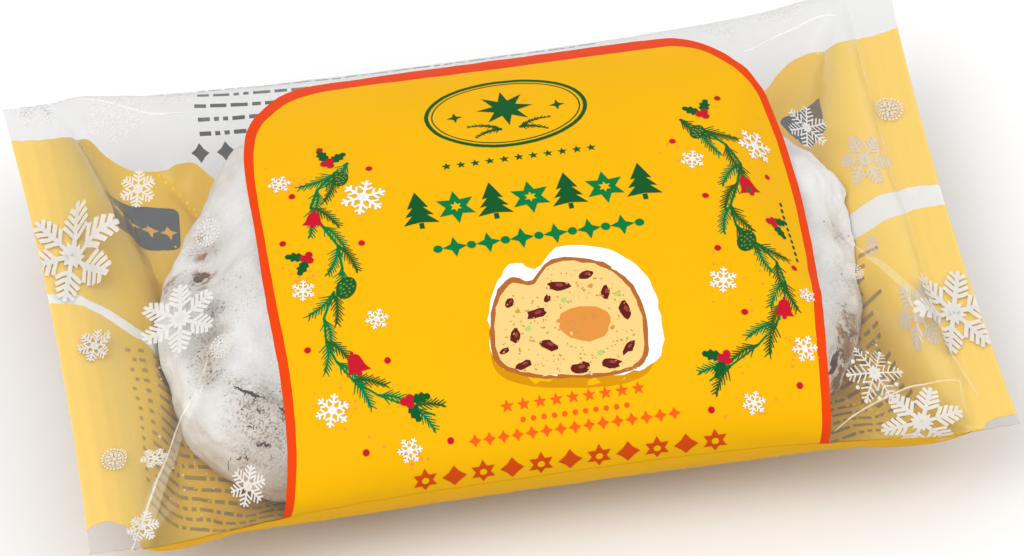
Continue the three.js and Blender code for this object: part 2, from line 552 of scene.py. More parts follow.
rng = np.random.default_rng(5)
crack_step, crack_jitter = 0.28, 0.1
corners, all_faces = [], []
for path, wide in (
        ([(-54.2, -25.2), (-52.7, -26.6), (-51.7, -27.7), (-50.7, -29.2), (-49.1, -30.4)], 0.8),
        ([(-52.0, -27.4), (-52.6, -28.3)], 0.35), ([(-50.7, -29.1), (-51.0, -30.3)], 0.35),
        ([(-52.2, -37.3), (-51.2, -37.6), (-50.3, -38.2)], 0.26),
        ([(-50.9, -38.1), (-49.9, -38.5), (-49.4, -38.9)], 0.3), ([(-55.4, -36.6), (-54.5, -36.9)], 0.3),
        ([(-56.9, -35.6), (-56.4, -35.8)], 0.3), ([(-54.0, -37.4), (-53.4, -37.8)], 0.26),
        ([(-47.1, -33.0), (-46.4, -34.2), (-46.1, -35.2)], 0.45), ([(-50.9, -32.0), (-50.5, -33.2)], 0.4),
        ([(-53.1, -33.9), (-52.2, -34.6)], 0.35)):
    turns = np.array(path)
    reached = np.concatenate([[0], np.cumsum(np.linalg.norm(np.diff(turns, axis=0), axis=1))])
    at = np.linspace(0, reached[-1], int(reached[-1] / crack_step) + 2)
    middle = np.stack([np.interp(at, reached, turns[:, 0]), np.interp(at, reached, turns[:, 1])], 1)
    middle += rng.normal(size=middle.shape) * crack_jitter
    along = turns[-1] - turns[0]
    side = np.array((-along[1], along[0])) / np.linalg.norm(along)
    half = wide / 2 * np.sin(np.pi * (np.arange(len(at)) + 0.35) / len(at)) * rng.uniform(0.45, 1.3, len(at))
    crust_mark([[m + side * h, m, m - side * h] for m, h in zip(middle, half)])
crust_piece("cracks", 900, (0.35, (0.012, 0.007, 0.004)), (0.65, (0.05, 0.03, 0.018)))

corners, all_faces = [], []
likely = grain_and_shade**2 * (rise > 0.35) * (places[:, 1] < 3 * MM)
likely /= likely.sum()
grain_count, grain_scatter = 620, 0.6
for spot in rng.choice(len(places), grain_count, p=likely):
    px, py = places[spot, :2] / MM + np.array(loaf_middle[:2]) / MM + rng.normal(size=2) * grain_scatter
    size = rng.uniform(0.08, 0.24)
    turn = rng.uniform(0, math.pi)
    cosine, sine = math.cos(turn) * size, math.sin(turn) * size * rng.uniform(0.5, 1.0)
    crust_mark([[(px - cosine, py - sine), (px + sine, py - cosine)],
                [(px - sine, py + cosine), (px + cosine, py + sine)]])
crust_piece("crust_grains", 700, (0.35, (0.09, 0.065, 0.045)), (0.5, (0.27, 0.22, 0.17)),
            (0.65, (0.45, 0.39, 0.33)))


# ---- The crumbs: sugar and crust that have come off the loaf and lie on the film at both ends.
bpy.ops.object.select_all(action="DESELECT")
bpy.ops.mesh.primitive_ico_sphere_add(subdivisions=2, radius=1)
crumb = bpy.context.object
crumb.name = "crumbs"
base = np.array([vert.co for vert in crumb.data.vertices])
faces = [tuple(face.vertices) for face in crumb.data.polygons]
bpy.data.objects.remove(crumb)
corners, all_faces = [], []
crumb_count, crumb_scatter = 110, 6
loaf_end, fin_start = 63, 78
for k in range(crumb_count):
    side = 1 if k % 2 else -1
    x = side * (loaf_end + abs(rng.normal()) * crumb_scatter) * MM
    v = 0.5 - rng.uniform(-112, -72) * MM / film_girth
    if abs(x) > fin_start * MM:
        continue
    size = rng.uniform(0.08, 0.26) * MM
    x, v = np.array([x]), np.array([v])
    place = on_film(x, v)[0] - film_normal(x, v)[0] * (size * 0.6 + 0.1 * MM)
    all_faces += [tuple(index + len(corners) for index in face) for face in faces]
    uneven = base * (1 + 0.25 * rng.normal(size=(len(base), 1)))
    corners += (uneven * size * rng.uniform(0.6, 1.2, 3) + place).tolist()
crumbs = new_piece("crumbs", corners, all_faces)
crumbs.data.materials.append(new_material("crumb_sugar", {"Roughness": 0.9}))
links.new(ramp(cloud(300, 1), (0.45, (0.75, 0.72, 0.68)), (0.7, (0.5, 0.36, 0.22))),
          shader.inputs["Base Color"])
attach(crumbs, "root")


# ---- The printed panel on the front: a yellow field with an orange line round three sides. Its near side
# runs on into the yellow of the back. The ink is printed on the flat film before the pack is made up, so
# each field is drawn flat, in millimetres from the middle of the front, and then laid on the film.
def drawn(name, outlines):
    """Flat shapes on the uncut film, x along the pack and y across it towards the far side."""
    corners, faces = [], []
    for outline in outlines:
        ahead = outline[1:] + outline[:1]
        turning = sum(x0 * y1 - x1 * y0 for (x0, y0), (x1, y1) in zip(outline, ahead))
        corners += [(x * MM, y * MM, 0) for x, y in (outline if turning > 0 else outline[::-1])]
        faces.append(range(len(corners) - len(outline), len(corners)))
    return new_piece(name, corners, faces)


def lay_on_film(shape, lift, cell):
    """Cuts a flat shape into cells, so that it can bend, and moves it onto the made-up film."""
    bpy.ops.object.select_all(action="DESELECT")
    shape.select_set(True)
    bpy.context.view_layer.objects.active = shape
    corners = np.array([vert.co for vert in shape.data.vertices])
    low, high = corners.min(0) / MM, corners.max(0) / MM
    end, fin = film_length / 2 / MM, (film_length / 2 - fin_length) / MM
    rib_cell, margin = 0.6, 0.1
    cuts = []
    for step, axis, first, last in ((cell, 0, -fin, fin), (cell, 1, low[1], high[1]),
                                    (rib_cell, 0, -end, -fin), (rib_cell, 0, fin, end)):
        for place in np.arange(math.ceil(first / step) * step, last, step):
            if low[axis] + margin / 2 < place < high[axis] - margin / 2:
                cuts.append((axis, place * MM))
    bpy.ops.object.mode_set(mode="EDIT")
    for axis, place in cuts:
        bpy.ops.mesh.select_all(action="SELECT")
        bpy.ops.mesh.bisect(plane_co=(place, place, 0), plane_no=(1 - axis, axis, 0))
    tip = (end - margin) * MM
    if max(-low[0], high[0]) > end - margin:
        for side in (-1, 1):
            bpy.ops.mesh.select_all(action="SELECT")
            bpy.ops.mesh.bisect(plane_co=(side * tip, 0, 0), plane_no=(side, 0, 0), clear_outer=True)
    bpy.ops.object.mode_set(mode="OBJECT")
    corners = np.array([vert.co for vert in shape.data.vertices])
    x, v = corners[:, 0], 0.5 - corners[:, 1] / film_girth
    shape.data.vertices.foreach_set("co", (on_film(x, v) + film_normal(x, v) * lift).ravel())
    shape.data.update()
    shape.data.shade_smooth()
    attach(shape, "root")
    bpy.ops.object.select_all(action="DESELECT")
    return shape


def curve(points, count):
    """A smooth path through a few points."""
    points = np.array(points, float)
    path = []
    for t in np.linspace(0, len(points) - 1, count):
        i = min(int(t), len(points) - 2)
        p = [points[min(max(i + k, 0), len(points) - 1)] for k in (-1, 0, 1, 2)]
        u = t - i
        path.append(0.5 * (2 * p[1] + (p[2] - p[0]) * u + (2 * p[0] - 5 * p[1] + 4 * p[2] - p[3]) * u**2
                           + (3 * p[1] - p[0] - 3 * p[2] + p[3]) * u**3))
    return [tuple(p) for p in path]


def ink(name, colour, thinness=0.0):
    """Ink on film: an even colour with a slight mottle, and see-through where it is printed thin."""
    material = new_material(name, {"Roughness": 0.5, "Specular IOR Level": 0.05, "Alpha": 1.0 - thinness})
    darker = (*[part * 0.93 for part in colour], 1)
    links.new(over(cloud(60, 3, 0.5), darker, (*colour, 1)), shader.inputs["Base Color"])
    return material


def printed(name, outlines, material, lift, cell=1.3):
    shape = lay_on_film(drawn(name, outlines), lift * MM, cell)
    shape.data.materials.append(material)


near_edge = -56.6
outer_edge = curve([
    (-50.2, near_edge), (-47.6, -44), (-46.5, -30), (-46.3, -12), (-45.5, 4), (-44.8, 18), (-42.6, 28.6),
    (-37.5, 36.2), (-31, 41.4), (-20, 42.7), (7, 43.3), (33, 42.9), (38.8, 42.5), (41.5, 41.5), (44, 39.3),
    (46.5, 36.6), (48.8, 33.6), (50.4, 31.4), (51.8, 29.4), (52.7, 27.7), (53.8, 26.4), (55.1, 25.3),
    (56.3, 23.6), (57.1, 21.1), (57.7, 17.6), (58.5, 13), (58.8, 6), (58.8, -2), (57.9, -13), (56.5, -22),
    (54.1, -31.5), (52.5, -42), (50.9, near_edge)], 160)
inner_edge = curve([
    (-48.4, near_edge), (-45.8, -44), (-44.6, -30), (-44.4, -12), (-43.9, 4), (-43.1, 17), (-41, 27),
    (-36.3, 33.7), (-30.2, 37.8), (-20, 38.9), (7, 38.6), (33, 38.5), (38.1, 38.5), (40.8, 37.9),
    (43.4, 36.4), (45.8, 34), (48.2, 31), (49.4, 29.4), (50.4, 27.6), (51.4, 25.9), (52.6, 24.8),
    (53.7, 23.4), (54.6, 21.6), (55.1, 19.9), (55.7, 17), (56.4, 12.3), (56.7, 5), (56.6, -3), (55.7, -14),
    (54, -23), (52, -32), (50.6, -42.3), (49.1, near_edge)], 160)
yellow_ink = ink("yellow_ink", (0.655, 0.34, 0.0))
orange_ink = ink("orange_ink", (0.6, 0.042, 0.002))
printed("front_panel", [inner_edge], yellow_ink, 0.1)
printed("panel_line", [inner_edge + outer_edge[::-1]], orange_ink, 0.1)


# ---- The emblem and the rows on the front: an oval ring round a star, a row of fir trees and stars with a
# finer row under it, and rows of orange and brown ornaments along the near edge.
def star(x, y, reach, points=5, waist=0.42):
    corners = []
    for k in range(2 * points):
        a = math.radians(90 + 180.0 * k / points)
        far = reach * waist if k % 2 else reach
        corners.append((x + far * math.cos(a), y + far * math.sin(a)))
    return corners


def turned(outline, x, y, turn, size=1.0):
    cosine, sine = math.cos(math.radians(turn)) * size, math.sin(math.radians(turn)) * size
    return [(x + u * cosine - v * sine, y + u * sine + v * cosine) for u, v in outline]


def disc(x, y, radius, tall=1.0, turn=0.0, sides=16):
    angles = [2 * math.pi * k / sides for k in range(sides)]
    return turned([(radius * math.cos(a), radius * tall * math.sin(a)) for a in angles], x, y, turn)


def strip(points, start_width, end_width=None):
    """A ribbon along a path, as wide as given at its start and its end."""
    path = np.array(points, float)
    along = np.gradient(path, axis=0)
    along /= np.linalg.norm(along, axis=1, keepdims=True)
    end_width = start_width if end_width is None else end_width
    half = np.linspace(start_width, end_width, len(path))[:, None] / 2
    side = np.stack([-along[:, 1], along[:, 0]], 1) * half
    return [tuple(p) for p in path - side] + [tuple(p) for p in (path + side)[::-1]]


def fir_sprig(x, y, length, turn, bow, needle):
    """A bowed twig with needles down both sides, shorter towards its tip."""
    stem = curve([(0, 0), (length * 0.5, bow * length), (length, 0)], 9)
    shapes = [turned(strip(stem, 0.5, 0.2), x, y, turn)]
    steps = int(length / 0.62)
    for k in range(1, steps + 1):
        u = k / steps
        at = (length * u, 4 * bow * length * u * (1 - u))
        long = needle * (1 - 0.45 * u) * (0.85 + 0.3 * (k % 2))
        for side in (-1, 1):
            angle = math.radians(side * (42 - 14 * u))
            tip = (at[0] + long * math.cos(angle), at[1] + long * math.sin(angle))
            shapes.append(turned(strip([at, tip], 0.34, 0.14), x, y, turn))
    return shapes


def fir_tree(x, y, height):
    half, top = height * 0.05, y + height * 0.15
    shapes = [[(x - half, y), (x + half, y), (x + half, top), (x - half, top)]]
    for low, wide, tall in ((0.12, 0.37, 0.42), (0.34, 0.3, 0.38), (0.56, 0.22, 0.44)):
        shapes.append([(x - height * wide, y + height * low), (x, y + height * (low + 0.05)),
                       (x + height * wide, y + height * low), (x, y + height * (low + tall))])
    return shapes


def oval_ring(x, y, radius, tall, wide):
    """An upright oval ring, in two halves."""
    halves = []
    sides = 48
    for start in (0, 180):
        angles = [math.radians(start + 360 * k / sides) for k in range(sides // 2 + 1)]
        outer = [(x + radius * math.cos(a), y + radius * tall * math.sin(a)) for a in angles]
        across, up = radius - wide, radius * tall - wide
        inner = [(x + across * math.cos(a), y + up * math.sin(a)) for a in angles]
        halves.append(outer + inner[::-1])
    return halves


deep_green_ink = ink("deep_green_ink", (0.0035, 0.071, 0.015))
leaf_green_ink = ink("leaf_green_ink", (0.0, 0.145, 0.034))
emblem = oval_ring(5, 23.5, 15.2, 0.66, 0.75) + oval_ring(5, 23.5, 13.9, 0.64, 0.25)
emblem += [star(5, 24.5, 5.2, 8, 0.45), star(-4.6, 23.5, 1.5, 4, 0.35), star(14.6, 23.5, 1.5, 4, 0.35)]
for side, lean in ((1, 0), (-1, 180)):
    for turn, length in ((18, 6.0), (-14, 5.0)):
        emblem += fir_sprig(5 + side * 1.6, 18.4, length, lean + side * turn, 0.1 * side, 1.0)
emblem += [star(5 + 2.7 * k, 10.4, 0.95) for k in range(-5, 6)]
printed("emblem", emblem, deep_green_ink, 0.15, 2.6)
title_trees, title_stars, star_hearts = [], [], []
for k in range(-3, 4):
    x = 5.2 + 6.9 * k
    if k % 2:
        title_trees += fir_tree(x, -3.9, 8.9)
    else:
        title_stars.append(star(x, 0.2, 3.9, 6, 0.5))
        star_hearts.append(star(x, 0.2, 1.2, 6, 0.5))
for k in range(-6, 7):
    x = 5 + 3.1 * k
    title_stars.append(star(x, -9, 2.3, 4) if k % 2 else disc(x, -9, 0.85))
printed("title_trees", title_trees, deep_green_ink, 0.15, 2.6)
printed("title_stars", title_stars, leaf_green_ink, 0.15, 2.6)
orange_row = [star(5 + 3.0 * k, -42.2, 1.25) for k in range(-4, 5)]
orange_row += [disc(5 + 1.9 * k, -44.9, 0.5, sides=10) for k in range(-5, 6)]
orange_row += [star(4.6 + 2.6 * k, -47.4, 1.15, 4, 0.5) for k in range(-7, 8)]
printed("orange_rows", orange_row, ink("bright_orange_ink", (0.7, 0.09, 0.006)), 0.15)
bold_row = []
for k in range(-5, 6):
    x = 3.2 + 5.3 * k
    bold_row.append(star(x, -53.4, 2.45, 6, 0.56) if k % 2 else star(x, -53.4, 2.2, 4, 0.62))
    if k % 2:
        star_hearts.append(disc(x, -53.4, 0.7, sides=10))
printed("bold_row", bold_row, ink("brown_orange_ink", (0.47, 0.05, 0.002)), 0.15)
printed("star_hearts", star_hearts, yellow_ink, 0.19)
edge_dots = [disc(52.4, -5 - 1.5 * k, 0.34, 1.6, 0, 8) for k in range(10)]
printed("edge_dots", edge_dots, deep_green_ink, 0.15, 2.6)


# ---- The picture on the front: a slice of stollen in flat fields, with its sugar coat, crust, crumb, a round
# filling, raisins and candied peel. Each field is a print of its own over the one before.
rng = np.random.default_rng(11)
slice_x, slice_y, slice_turn = 6.6, -29.8, -7


def slice_field(grow, aside, up, rough):
    """The outline of a domed slice with a fold on its left, grown all round and moved."""
    corners = []
    points = 72
    for a in np.arange(points) * 2 * math.pi / points:
        wide, tall = math.cos(a), math.sin(a)
        x = (14.2 + grow) * math.copysign(abs(wide) ** 0.8, wide)
        y = (15.2 + grow) * tall if tall > 0 else (9.0 + grow * 0.7) * math.copysign(abs(tall) ** 0.45, tall)
        y -= 4.2 * math.exp(-(((x + 6.4) / 2.6) ** 2)) * max(tall, 0)
        corners.append((x + aside + rng.normal() * rough, y + up + rng.normal() * rough))
    return turned(corners, slice_x, slice_y, slice_turn)


def in_slice(u, v):
    return turned([(u, v)], slice_x, slice_y, slice_turn)[0]


def blob(x, y, radius, tall, turn, rough, sides):
    uneven = []
    for a in np.arange(sides) * 2 * math.pi / sides:
        wide = radius * (1 + rough * rng.normal()) * math.cos(a)
        uneven.append((wide, radius * tall * (1 + rough * rng.normal()) * math.sin(a)))
    return turned(uneven, x, y, turn)


def bits(radius, *spots_in_slice):
    return [disc(*in_slice(u, v), radius, 0.8, 30, 6) for u, v in spots_in_slice]


for name, shift, rough, colour, lift in (
        ("slice_shade", (0.6, 0.4, -1.4), 0, (0.49, 0.21, 0.0), 0.12),
        ("slice_sugar", (1.5, 1.2, 1.2), 0.16, (0.77, 0.755, 0.73), 0.14),
        ("slice_crust", (0.1, 0, 0), 0.08, (0.33, 0.1, 0.02), 0.16),
        ("slice_crumb", (-0.75, 0, 0), 0.1, (0.7, 0.455, 0.165), 0.18)):
    printed(name, [slice_field(*shift, rough)], ink(name + "_ink", colour), lift, 2.6)
filling = [blob(*in_slice(3.0, 1.6), 4.6, 0.78, slice_turn, 0.05, 22)]
filling += bits(0.5, (-1.8, 2.0), (7.8, 0.4), (-9.0, 4.2), (4.4, 9.0))
printed("slice_filling", filling, ink("filling_print", (0.55, 0.21, 0.038)), 0.2, 2.6)
pores, filling_pores, all_pores = [], 14, 230
for _ in range(filling_pores):
    place = in_slice(2.2 + rng.uniform(-3.4, 3.4), 1.3 + rng.uniform(-2, 2))
    pores.append(disc(*place, 0.35, 0.6, rng.uniform(0, 180), 6))
while len(pores) < all_pores:
    u, v = rng.uniform(-12.5, 12.5), rng.uniform(-8, 13.6)
    inside = (u / 12.6) ** 2 + (max(v, 0) / 13.6) ** 2 < 0.94
    in_fold = -9.5 < u < -3.5 and v > 7.5
    if inside and not in_fold and math.hypot(u - 3.0, v - 1.6) > 4.8:
        pores.append(disc(*in_slice(u, v), rng.uniform(0.12, 0.3), 0.6, rng.uniform(0, 180), 6))
printed("slice_pores", pores, ink("pore_print", (0.47, 0.23, 0.06)), 0.22, 5.2)
peel = bits(0.66, (-7.4, 0.6), (9.2, 7.2), (-0.6, 6.2), (5.4, -4.4))
printed("slice_peel", peel, ink("peel_print", (0.32, 0.46, 0.125)), 0.2, 5.2)
raisin_prints, raisin_glints = [], []
for u, v, long, turn in (
        (-9.8, -0.8, 1.6, 70), (-5.6, 3.6, 1.9, 15), (-3.8, -2.8, 1.7, -30), (-8.6, -6.4, 1.5, 10),
        (-1.4, 9.2, 2.0, -12), (3.8, 11.4, 1.4, 20), (7.0, 7.6, 1.4, 70), (10.4, 3.9, 1.8, 100),
        (10.6, -3.4, 1.5, 40), (1.6, -7.2, 1.8, 5), (7.2, -6.4, 1.7, -15), (-3.6, 6.6, 1.0, 60),
        (-11.9, -3.6, 1.0, 20), (-10.4, 6.0, 1.2, 45)):
    x, y = in_slice(u, v)
    raisin_prints.append(blob(x, y, long, 0.55, turn, 0.14, 11))
    raisin_glints.append(disc(x + 0.25, y + 0.2, long * 0.36, 0.5, turn))
printed("slice_raisins", raisin_prints, ink("raisin_print", (0.09, 0.0095, 0.008)), 0.22, 5.2)
printed("slice_glints", raisin_glints, ink("glint_print", (0.24, 0.036, 0.036)), 0.24, 5.2)


# ---- The garlands on the front: two hanging garlands of fir twigs with bells, cones, holly and berries,
# among small snowflakes and a dusting of orange specks.
def snowflake(x, y, width, turn=0.0, line=0.085, barbs=(0.34, 0.54, 0.73, 0.9), barb=0.34, tall=1.0):
    """Six arms with pairs of side barbs, round a small six-petalled heart."""
    reach = width / 2
    petal = [(0, 0), (0.17, 0.07), (0.3, 0), (0.17, -0.07)]
    arm = [(0.04, line / 2), (0.04, -line / 2), (1, -line / 2), (1, line / 2)]
    shapes = []
    for k in range(6):
        shapes.append(turned(petal, x, y, turn + 30 + 60 * k, reach))
        shapes.append(turned(arm, x, y, turn + 60 * k, reach))
        for place in barbs:
            long = barb * min(1, 1.45 - place)
            for side in (-1, 1):
                side_barb = strip([(place, 0), (place + 0.55 * long, side * 0.84 * long)], line * 0.9)
                shapes.append(turned(side_barb, x, y, turn + 60 * k, reach))
    return [[(u, y + (v - y) * tall) for u, v in shape] for shape in shapes]


def holly_leaf(x, y, length, turn):
    edge = []
    for side in (1, -1):
        for k in range(8):
            u = k / 8 if side == 1 else 1 - k / 8
            wide = 0.27 * math.sin(math.pi * u) ** 0.8 * (1.0 if k % 2 else 0.62)
            edge.append((u + (0.05 if k % 2 else 0), side * wide))
    return turned(edge, x, y, turn, length)


def bell(x, y, size, turn):
    side = [(0.0, 1.0), (0.3, 0.93), (0.52, 0.7), (0.62, 0.3), (0.7, -0.15), (0.84, -0.45), (1.05, -0.68)]
    body = side + [(-u, v) for u, v in side[:0:-1]]
    return [turned(part, x, y, turn, size) for part in (body, disc(0, -0.82, 0.23), disc(0, 1.12, 0.15))]


bright_twigs, dark_twigs = [], []
for side, hang in ((1, [(-26, 15), (-34.5, 6), (-31, -8), (-37, -22), (-33, -34), (-20, -42)]),
                   (-1, [(36, 15), (45, 4), (40.5, -10), (47.5, -22), (43.5, -34), (30, -42.5)])):
    path = curve(hang, 15)
    bright_twigs.append(strip(path, 0.6, 0.35))
    for k, (start, ahead) in enumerate(zip(path, path[1:])):
        turn = math.degrees(math.atan2(ahead[1] - start[1], ahead[0] - start[0]))
        for lean in (-24, 24) if k % 2 else (8 * side,):
            twig = fir_sprig(*start, 7.0 - 0.12 * k, turn + lean, 0.07 * side, 2.1)
            if (k + (lean > 0)) % 2:
                bright_twigs += twig
            else:
                dark_twigs += twig
cones, cone_scales, holly, red_prints = [], [], [], []
for x, y, size in ((-31.5, -14.5, 2.5), (42.2, -15.5, 2.5), (-28.0, 11.0, 1.9), (38.5, 11.2, 1.9)):
    cones.append(disc(x, y, size, 0.7, 60))
    for k in range(14):
        reach = size * 0.8 * math.sqrt((k + 0.5) / 14)
        spiral = (reach * math.cos(k * 2.4), 0.7 * reach * math.sin(k * 2.4))
        cone_scales.append(disc(*turned([spiral], x, y, 60)[0], 0.24, 0.7, 20, 6))
for x, y, size, turn in ((-34.6, 2.0, 1.9, -14), (-32.5, -30.5, 2.2, 10), (45.3, -2.5, 2.2, 12),
                         (46.2, -30.4, 1.9, -10)):
    red_prints += bell(x, y, size, turn)
for x, y, turn in ((-37.2, -6.5, 200), (-24.5, -38.8, 330), (48.6, -10.5, -20), (33.5, -38.6, 200),
                   (-29.6, 15.5, 70), (40.6, 15.8, 110)):
    holly += [holly_leaf(x, y, 4.2, turn - 38), holly_leaf(x, y, 4.2, turn + 38)]
    for k in range(3):
        a = 2.1 * k + 1
        red_prints.append(disc(x + 0.72 * math.cos(a), y + 0.72 * math.sin(a), 0.72, sides=12))
for x, y in ((-37.5, 8.6), (-22.5, 12.6), (-41.0, -2.2), (-27.0, -5.2), (-40.6, -26.0), (-26.8, -30.6),
             (-33.4, -46.6), (-18.0, -46.8), (-30.5, 19.5), (33.5, 9.4), (50.8, 1.2), (36.8, -4.6),
             (36.6, -16.6), (50.6, -21.2), (38.8, -30.4), (46.2, -45.0), (29.5, -47.6), (44.2, 19.8)):
    red_prints.append(disc(x, y, 0.62, sides=12))
front_flakes = []
for x, y, width, turn in (
        (-24.8, 5.6, 8.5, 10), (-39.2, 12.2, 4.4, 0), (-39.2, -13.5, 4.6, 20), (-27.2, -22.0, 4.4, 5),
        (-38.2, -38.2, 6.4, 12), (-25.5, -47.4, 4.6, 0), (36.2, 4.4, 4.6, 15), (49.8, 8.6, 8.0, 5),
        (36.2, -23.5, 5.4, 18), (48.6, -38.4, 5.2, 0), (37.4, -47.2, 4.4, 10), (51.6, -27.5, 3.6, 20)):
    front_flakes += snowflake(x, y, width, turn, 0.13, (0.42, 0.72), 0.36)
specks = []
for x, y, spread, count in ((-37.5, 13, 2.2, 16), (-38.6, -12, 1.8, 18), (-37.0, -38, 2.2, 16),
                            (-26, -47, 2.4, 10), (49.5, 9, 2.4, 14), (37, -24, 2.8, 14),
                            (48.4, -38.4, 1.8, 16), (37.6, -46.5, 2.4, 10), (34.5, 6, 2.4, 8),
                            (-26, 6, 3.4, 12)):
    for _ in range(count):
        u, v = x + rng.normal() * spread, y + rng.normal() * spread
        specks.append(disc(u, v, rng.uniform(0.16, 0.36), sides=7))
white_ink = ink("white_ink", (0.65, 0.635, 0.6))
for name, outlines, material, lift in (
        ("specks", specks, ink("speck_ink", (0.74, 0.23, 0.035)), 0.12),
        ("bright_twigs", bright_twigs, leaf_green_ink, 0.14),
        ("dark_twigs", dark_twigs, ink("pine_green_ink", (0.017, 0.078, 0.013)), 0.155),
        ("holly", holly, deep_green_ink, 0.17),
        ("cones", cones, ink("cone_ink", (0.008, 0.075, 0.012)), 0.17),
        ("cone_scales", cone_scales, ink("scale_ink", (0.16, 0.2, 0.04)), 0.19),
        ("front_flakes", front_flakes, white_ink, 0.19),
        ("red_prints", red_prints, ink("red_ink", (0.42, 0.005, 0.018)), 0.21)):
    printed(name, outlines, material, lift, 5.2)


# ---- The snowflakes on the clear ends, printed in white on the outside of the film: fern-like ones, fine
# ones that end in dots, and small lacy rounds.
def round_flake(x, y, width):
    """A lacy round: a ring of short rays, a ring of dots, and a small flake inside them."""
    reach = width / 2

    def spot(far, angle):
        return x + reach * far * math.cos(angle), y + reach * far * math.sin(angle)

    shapes = snowflake(x, y, width * 0.5, 0.0, 0.14, (0.55,), 0.4)
    for k in range(10):
        shapes.append(disc(*spot(0.5, math.radians(36 * k)), reach * 0.12, sides=8))
    for k in range(22):
        angle = math.radians(360 * k / 22)
        shapes.append(strip([spot(0.84, angle), spot(1.04, angle)], reach * 0.15))
        shapes.append(disc(*spot(0.7, angle + math.pi / 22), reach * 0.08, sides=6))
    return shapes


def dotted_flake(x, y, width, turn=0.0):
    """A flake of fine lines that end in dots."""
    reach = width / 2
    shapes = snowflake(x, y, width * 0.94, turn, 0.055, (0.3, 0.5, 0.7, 0.86), 0.36)
    for k in range(12):
        angle = math.radians(30 * k + turn)
        far = reach * (0.94 if k % 2 == 0 else 0.78)
        shapes.append(disc(x + far * math.cos(angle), y + far * math.sin(angle), reach * 0.07, sides=8))
    return shapes


fern = (0.36, 0.51, 0.66, 0.81)
small = (0.36, 0.56, 0.78)
end_flakes = (snowflake(-82, 16.5, 18.5, 8, 0.1, fern, 0.33, 1.3)
              + snowflake(-65.3, -7.6, 16.5, 20, 0.1, fern, 0.34, 0.92)
              + snowflake(-68, 24.5, 7.4, 10, 0.11, small, 0.42, 1.1)
              + snowflake(-81.3, -6.6, 7, 5, 0.11, small, 0.42, 1.1)
              + round_flake(-55.6, 8.3, 5.8) + round_flake(-57.8, -18, 5)
              + round_flake(-81.5, -34.5, 5) + round_flake(82.5, 25.5, 5.8)
              + snowflake(-74.5, -38, 4.8, 0, 0.12, small, 0.4)
              + snowflake(-56.5, -48.6, 7.4, 8, 0.1, small, 0.42)
              + snowflake(-78.5, -52, 6, 0, 0.12, small, 0.4) + dotted_flake(62, -43.8, 12)
              + round_flake(66, -18, 3.8) + snowflake(70, -53, 17, 10, 0.1, fern, 0.34, 0.74)
              + snowflake(83.3, -27.2, 17, 6, 0.1, fern, 0.33, 1.28)
              + snowflake(64.8, 17, 8.4, 15, 0.07, (0.3, 0.5, 0.7, 0.88), 0.4, 1.2))
printed("end_flakes", end_flakes, ink("frost_ink", (0.63, 0.61, 0.58), 0.2), 0.12, 1.0)
faint_flakes = snowflake(-82.5, 55, 10) + dotted_flake(-68, 42, 13, 12) + dotted_flake(-55, 49, 10)
faint_flakes += dotted_flake(64, 47, 10, 10) + dotted_flake(50.5, 45, 8, 4)
printed("faint_flakes", faint_flakes, ink("faint_ink", (0.63, 0.61, 0.6), 0.6), 0.12, 1.0)


# ---- The back print: two yellow fields over the whole length, on white backing that shows pale yellow from
# inside, either side of the bare strip where the tube is sealed. The backing's yellow carries painted light
# and shade along the pack. It carries a dark plate with stars, a dark corner patch, large white flakes, rows
# of fine marks, and bolder marks along its far side.
def rounded_outline(corners):
    """The outline through corners of (x, y, radius), each turned through an arc."""
    points = []
    for i, (x, y, radius) in enumerate(corners):
        here = np.array((x, y))
        before = np.array(corners[i - 1][:2]) - here
        after = np.array(corners[(i + 1) % len(corners)][:2]) - here
        before, after = before / np.linalg.norm(before), after / np.linalg.norm(after)
        half = math.acos(np.clip(before @ after, -1, 1)) / 2
        reach = radius / math.tan(half)
        middle = here + (before + after) / np.linalg.norm(before + after) * radius / math.sin(half)
        start, end = here + before * reach - middle, here + after * reach - middle
        arc_step = 0.13
        steps = max(2, int((math.pi - 2 * half) / arc_step))
        for k in range(steps + 1):
            part = k / steps
            arm = start * (1 - part) + end * part
            points.append(tuple(middle + arm / np.linalg.norm(arm) * radius))
    return points


half_film = film_length / 2 / MM
seam_far_edge = curve([(half_film, -118.2), (83, -118.6), (79, -117.5), (73, -115.2), (55, -114.8),
                       (0, -115.7), (-55, -113.2), (-72, -109.6), (-75.6, -110.6), (-77.3, -113),
                       (-78.8, -116), (-80.3, -118), (-83, -120.2), (-half_film, -121.2)], 90)
seam_near_edge = curve([(half_film, -113), (82, -112.8), (78, -110.9), (73, -109.5), (55, -109.6),
                        (0, -110.3), (-55, -108.6), (-72, -106.6), (-75.9, -108.2), (-77.5, -110.4),
                        (-78.9, -113.4), (-80.3, -115.6), (-83.4, -117.8), (-half_film, -118.8)], 90)
far_field_edge = curve([
    (-half_film, -161), (-80, -160.2), (-73.5, -163), (-70, -160), (-65, -157.5), (-58, -157.6),
    (-55.2, -158.6), (-52.4, -159), (-50.7, -158.6), (-49.3, -157.4), (-48, -156.2), (-46.2, -155.1),
    (-40, -154), (0, -154), (54, -155.4), (60.9, -157.1), (63.9, -159.2), (67.6, -160.9), (72.6, -161.1),
    (77.4, -158.2), (80, -158), (84.2, -158.5), (half_film, -159.6)], 120)
near_left = curve([(-half_film, -62.8), (-85.5, -64.6), (-82, -63.2), (-80, -60.5), (-78.5, near_edge)], 16)
near_right = curve([(81, near_edge), (81.7, -57.4), (83, -58.9), (85.5, -59.6), (half_film, -59.6)], 12)
back_fields = [near_left + near_right + seam_near_edge, far_field_edge + seam_far_edge]
printed("back_print", back_fields, yellow_ink, 0.14)
backing_ink_and_painted_light = new_material("backing_ink_and_painted_light", {"Roughness": 0.5, "Specular IOR Level": 0.05})
